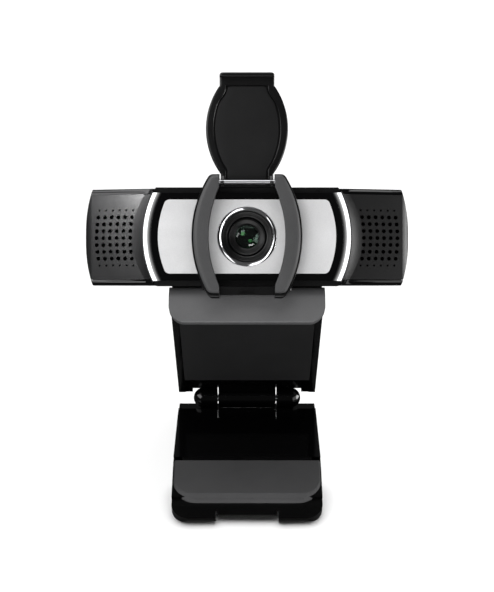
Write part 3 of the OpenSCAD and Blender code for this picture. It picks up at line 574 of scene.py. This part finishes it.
def make_bracket():
    core_front, face_back = ARM_FRONT + 1.0, ARM_FRONT + 1.2
    # The soft grey face stops short of both ends, so the black core shows there as painted shade.
    face_low, face_high = 1.5 - ARM_HALF, ARM_HALF - 0.45   # the soft face stops short of both ends
    for side, label in ((-1, "left"), (1, "right")):
        core = arm_rings(side, -ARM_HALF, ARM_HALF, 0.0, core_front, ARM_BACK, 0.4)
        face = arm_rings(side, face_low, face_high, FACE_INSET, ARM_FRONT, face_back, 1.4)
        bracket_piece(label + "_core", core)
        bracket_piece(label + "_face", face, "soft_grey")
    arch_half, low_half, top_half = 2.9, 12.6, 10.4
    # arch outlines a thin black sheet behind the lower hook's arch: painted shade that keeps the arch dark
    # instead of showing the lip through it.
    arch = block_outline(-arch_half, arch_half, -16.6, -14.9)
    under = block_outline(-low_half, low_half, -PLATE_OUT, -PLATE_IN)
    top = block_outline(-top_half, top_half, PLATE_IN, PLATE_OUT)
    # The lower hook is black as painted shade: it sits under the head, where shade falls.
    bracket_piece("lower_hook", slab_rings(hook_outline(), front=-2.6, back=-0.8))
    bracket_piece("arch_shade_sheet", slab_rings(arch, front=-1.3, back=-0.85, edge=0.1))
    bracket_piece("under_plate", slab_rings(under, PLATE_FRONT, back=2.2))
    bracket_piece("top_plate", slab_rings(top, PLATE_FRONT, back=8.0))
    for label, x0, x1 in (("left", -top_half, -ARM_END_IN), ("right", ARM_END_IN, top_half)):
        upright = block_outline(x0, x1, PLATE_IN, ARM_HALF - ARM_ROUND)
        bracket_piece(label + "_upright", slab_rings(upright, front=-1.7, back=2.0))


# Flap: a leaf with a raised rim round a soft panel, a tab above and knuckles below
FLAP_MID, FLAP_HALF, FLAP_CURVE = 15.3, 11.7, 21.5   # height of its widest place, half width and bow
FLAP_FRONT, FLAP_BACK = 1.8, 3.4
LEAF_LOW, ARM_CLEAR, LEAF_HIGH, FLAP_TOP = 0.8, 2.6, 27.4, 31.2   # heights above its pin
FOOT_HALF, FOOT_ROUND, TAB_HALF, TAB_ROUND = 7.5, 0.4, 7.8, 0.8
LIP_LOW, LIP_OUT, LIP_ROUND = 29.9, 1.15, 0.35       # the finger lip along the top of the tab
PANEL_LOW, PANEL_HIGH, PANEL_END_HALF, RIM = 0.8, 27.5, 5.6, 2.6
GROOVE, GROOVE_DEEP, PANEL_DEEP = 0.45, 0.6, 0.25    # between panel and rim
SUNK_HIGH = PANEL_HIGH + 0.12
STEP = 0.01                                          # height of a sharp step between two stations


def smooth(t):
    t = min(1.0, max(0.0, t))
    return t * t * (3 - 2 * t)


def flap_half(z):
    if z >= LEAF_HIGH:
        return TAB_HALF - round_off(FLAP_TOP - z, TAB_ROUND)
    if z < ARM_CLEAR:
        return FOOT_HALF - round_off(z - LEAF_LOW, FOOT_ROUND)
    return max(bowed(FLAP_HALF, FLAP_CURVE, z - FLAP_MID), FOOT_HALF)


def panel_half(z):
    ease = 5.0                    # over this height the panel's sides turn from straight to bowed
    spread = bowed(FLAP_HALF, FLAP_CURVE, z - FLAP_MID) - RIM - PANEL_END_HALF
    near_top = smooth((PANEL_HIGH - z) / ease)
    near_low = smooth((z - PANEL_LOW) / ease)
    return PANEL_END_HALF + max(0.0, spread) * near_top * near_low


def flap_front(z):
    if z >= LIP_LOW:
        return FLAP_FRONT - LIP_OUT + round_off(FLAP_TOP - z, LIP_ROUND) + round_off(z - LIP_LOW, LIP_ROUND)
    return FLAP_FRONT


def flap_shell_rings():
    stations = sorted(set(
        spaced(LEAF_LOW, ARM_CLEAR, 6) + spaced(ARM_CLEAR + STEP, LEAF_HIGH - STEP, 56)
        + spaced(LEAF_HIGH, LIP_LOW - STEP, 6) + spaced(LIP_LOW, FLAP_TOP, 6, LIP_ROUND, TAB_ROUND)
        + [SUNK_HIGH, SUNK_HIGH + STEP]))
    edge, back_edge = 0.55, 0.3
    wall, bevel_wide, bevel_deep = 0.001, 0.12, 0.1   # the groove's outer wall, and the bevel above it
    rings = []
    for z in stations:
        half, front = flap_half(z), flap_front(z)
        inner = panel_half(min(z, PANEL_HIGH)) + GROOVE
        sunk = z <= SUNK_HIGH
        floor = front + (GROOVE_DEEP if sunk else 0.0)
        right = [(0, floor), (inner * 0.5, floor), (inner - wall, floor), (inner, front + bevel_deep * sunk),
                 (inner + bevel_wide, front)]
        for a in quarter(4):
            right.append((half - edge * (1 - math.sin(a)), front + edge * (1 - math.cos(a))))
        right.append((half, FLAP_BACK - back_edge))
        right.append((half - back_edge, FLAP_BACK))
        rings.append(mirrored(right, z))
    return rings


def flap_panel_rings():
    low = PANEL_LOW + 0.1
    back = FLAP_FRONT + GROOVE_DEEP - 0.01
    front = FLAP_FRONT + PANEL_DEEP
    round_top, round_low, round_edge = 1.1, 0.5, 0.22
    rings = []
    for z in spaced(low, PANEL_HIGH, 56, 0.3, 0.5):
        half = panel_half(z) - round_off(PANEL_HIGH - z, round_top) - round_off(z - low, round_low)
        face = front + round_off(min(PANEL_HIGH - z, z - low), round_edge)
        right = [(0, face), (half * 0.6, face)]
        for a in quarter(3):
            right.append((half - round_edge * (1 - math.sin(a)),
                          min(back, face + round_edge * (1 - math.cos(a)))))
        right.append((half, back))
        rings.append(mirrored(right, z))
    return rings


def knuckle_rings(side):
    """One of the flap's two knuckles: round about the pin, rising into the leaf's foot."""
    radius, x0, x1, edge = 1.3, 6.5, FOOT_HALF, 0.12
    foot_low, foot_high, back = 1.0, 1.9, FLAP_BACK - 0.1
    turns = [math.radians(180 + 200 * i / 14) for i in range(15)]
    outline = [(radius * math.cos(a), radius * math.sin(a)) for a in turns]
    outline += [(back, foot_low), (back, foot_high), (FLAP_FRONT, foot_high), (FLAP_FRONT - 0.5, foot_low)]
    rings = []
    for x, draw in ((x0, edge), (x0 + edge, 0), (x1 - edge, 0), (x1, edge)):
        shrink = 1 - draw / 3
        rings.append([(side * x, y * shrink, z * shrink) for y, z in outline])
    return rings


def make_flap():
    loft("flap_shell", flap_shell_rings(), flap_place, "satin_black", "flap", "flap")
    loft("flap_panel", flap_panel_rings(), flap_place, "soft_black", "flap", "flap_liner")
    loft("flap_left_knuckle", knuckle_rings(-1), flap_place, "satin_black", "flap", "flap")
    loft("flap_right_knuckle", knuckle_rings(1), flap_place, "satin_black", "flap", "flap")


# Foot pad: soft, with a broad bevel round its front and its two front corners, and an apron below
PAD_HALF, PAD_CORNER, PAD_REACH = 22.2, 6.0, 12.8
PAD_BACK, PAD_FLOOR, APRON_BACK = 0.4, 1.45, -12.35
# Down the pad's front edge: how far it reaches, how far its sides draw in, and the height
PAD_EDGE = [(11.45, 0.5, 2.2), (11.6, 0.42, 2.18), (11.8, 0.3, 2.07), (PAD_REACH, 0.0, PAD_FLOOR)]
# Down the apron's front: how far it reaches, and the height
APRON_EDGE = [(PAD_REACH, PAD_FLOOR), (13.6, 0.93), (13.75, 0.8), (13.8, 0.66), (13.8, 0.16)]


def pad_corner_points(half, reach, corner, back):
    """From the back left to the back right, round both front corners."""
    steps = 12
    low = math.asin(max(0.0, 1 - (reach + back) / corner))
    left = []
    for i in range(steps + 1):
        a = low + (math.pi / 2 - low) * i / steps
        left.append((-half + corner * (1 - math.cos(a)), -reach + corner * (1 - math.sin(a))))
    return left + [(-x, y) for x, y in reversed(left)]


def make_foot_pad():
    rings = []
    for reach, draw, z in PAD_EDGE:
        half = PAD_HALF - draw
        corner = PAD_CORNER - 0.5 * (draw + PAD_REACH - reach)
        front = pad_corner_points(half, reach, corner, PAD_BACK)
        back = PAD_BACK - 0.3 * draw
        rings.append([(-half, back, z)] + [(x, y, z) for x, y in front] + [(half, back, z)])
    loft("foot_pad_cushion", rings, foot, "pad_rubber", "foot", "foot_pad")
    rings = []
    for reach, z in APRON_EDGE:
        front = pad_corner_points(PAD_HALF, reach, PAD_CORNER + reach - PAD_REACH, APRON_BACK)
        rings.append([(x, y, z) for x, y in front])
    loft("foot_pad_apron", rings, foot, "pad_rubber", "foot", "foot_pad")


# Light bars: a bright core, and a soft edge fading out towards the face
BAR_HALF, BAR_FRONT, BAR_BACK = 12.55, -0.3, 2.9
FADE_WIDTH, FADE_BACK, FADE_GAP = 1.2, -0.08, 0.01


def bar_rings(side, r0, r1, back, edge):
    """A strip between two radii about the lens axis, whose outer front edge is drawn in by edge."""
    steps, inner_edge = 40, 0.01
    rings = []
    for i in range(steps + 1):
        z = BAR_HALF * (2 * i / steps - 1)
        inner, outer = math.sqrt(r0 ** 2 - z ** 2), math.sqrt(r1 ** 2 - z ** 2)
        section = [(inner, back), (inner, BAR_FRONT + inner_edge), (inner + inner_edge, BAR_FRONT),
                   (outer - edge, BAR_FRONT), (outer, BAR_FRONT + edge), (outer, back)]
        rings.append([(side * x, y, z) for x, y in section])
    return rings


def make_light_bars():
    for side, label in ((-1, "left"), (1, "right")):
        core = bar_rings(side, BAR_IN, BAR_OUT, BAR_BACK, edge=0.2)
        fade = bar_rings(side, BAR_IN - FADE_WIDTH, BAR_IN - FADE_GAP, FADE_BACK, edge=0)
        loft(label + "_bar_core", core, head, "light_pipe", "head", label + "_light_bar")
        loft(label + "_bar_fade", fade, head, "light_pipe", "head", label + "_light_bar")


# Lens: a bright ring sloping outwards, a stepped hood inside it, and the front element
RING_OUTLINE = [(7.32, -0.5), (7.34, -0.98), (7.42, -1.08), (7.5, -1.08), (8.38, -0.58), (8.47, -0.5),
                (8.5, -0.38), (8.5, 2.2), (7.32, 2.2)]
HOOD_OUTLINE = [(5.65, 0.62), (5.78, 0.5), (6.0, 0.46), (6.06, 0.22), (6.35, 0.16), (6.42, -0.06),
                (6.75, -0.14), (6.82, -0.34), (7.1, -0.46), (7.25, -0.44), (7.25, 2.6), (5.62, 2.6),
                (5.62, 0.7)]


def lathe(name, profile, slot, body, *stands_for):
    """A ring whose (radius, depth) outline is turned about the lens axis."""
    turns = 144
    points = []
    for i in range(turns):
        a = 2 * math.pi * i / turns
        points += [head(r * math.cos(a), y, r * math.sin(a)) for r, y in profile]
    faces = bands(turns, len(profile), closed=True)
    return solid(name, points, faces, slot, body, *stands_for)


def make_lens_rings():
    lathe("lens_bright_ring", RING_OUTLINE, "chrome_ring", "head", "lens_ring")
    lathe("lens_stepped_hood", HOOD_OUTLINE, "satin_black", "head", "lens_hood")


def make_front_glass():
    rim, front, back, bulge, hollow, steps = 4.7, 3.2, 3.8, 0.95, 0.5, 24
    shares = [i / steps for i in range(steps + 1)]
    profile = [(rim * (1 - t), front - bulge * (1 - (1 - t) ** 2)) for t in shares]
    profile += [(rim * t, back + hollow * (1 - t ** 2)) for t in shares]
    lathe("front_glass", profile, "lens_glass", "focus", "front_element")


add_camera()
add_floor()
add_world()
dress_cad_parts()
make_bracket()
make_flap()
make_foot_pad()
make_lens_rings()
make_front_glass()
make_light_bars()
add_lights()
add_accents()
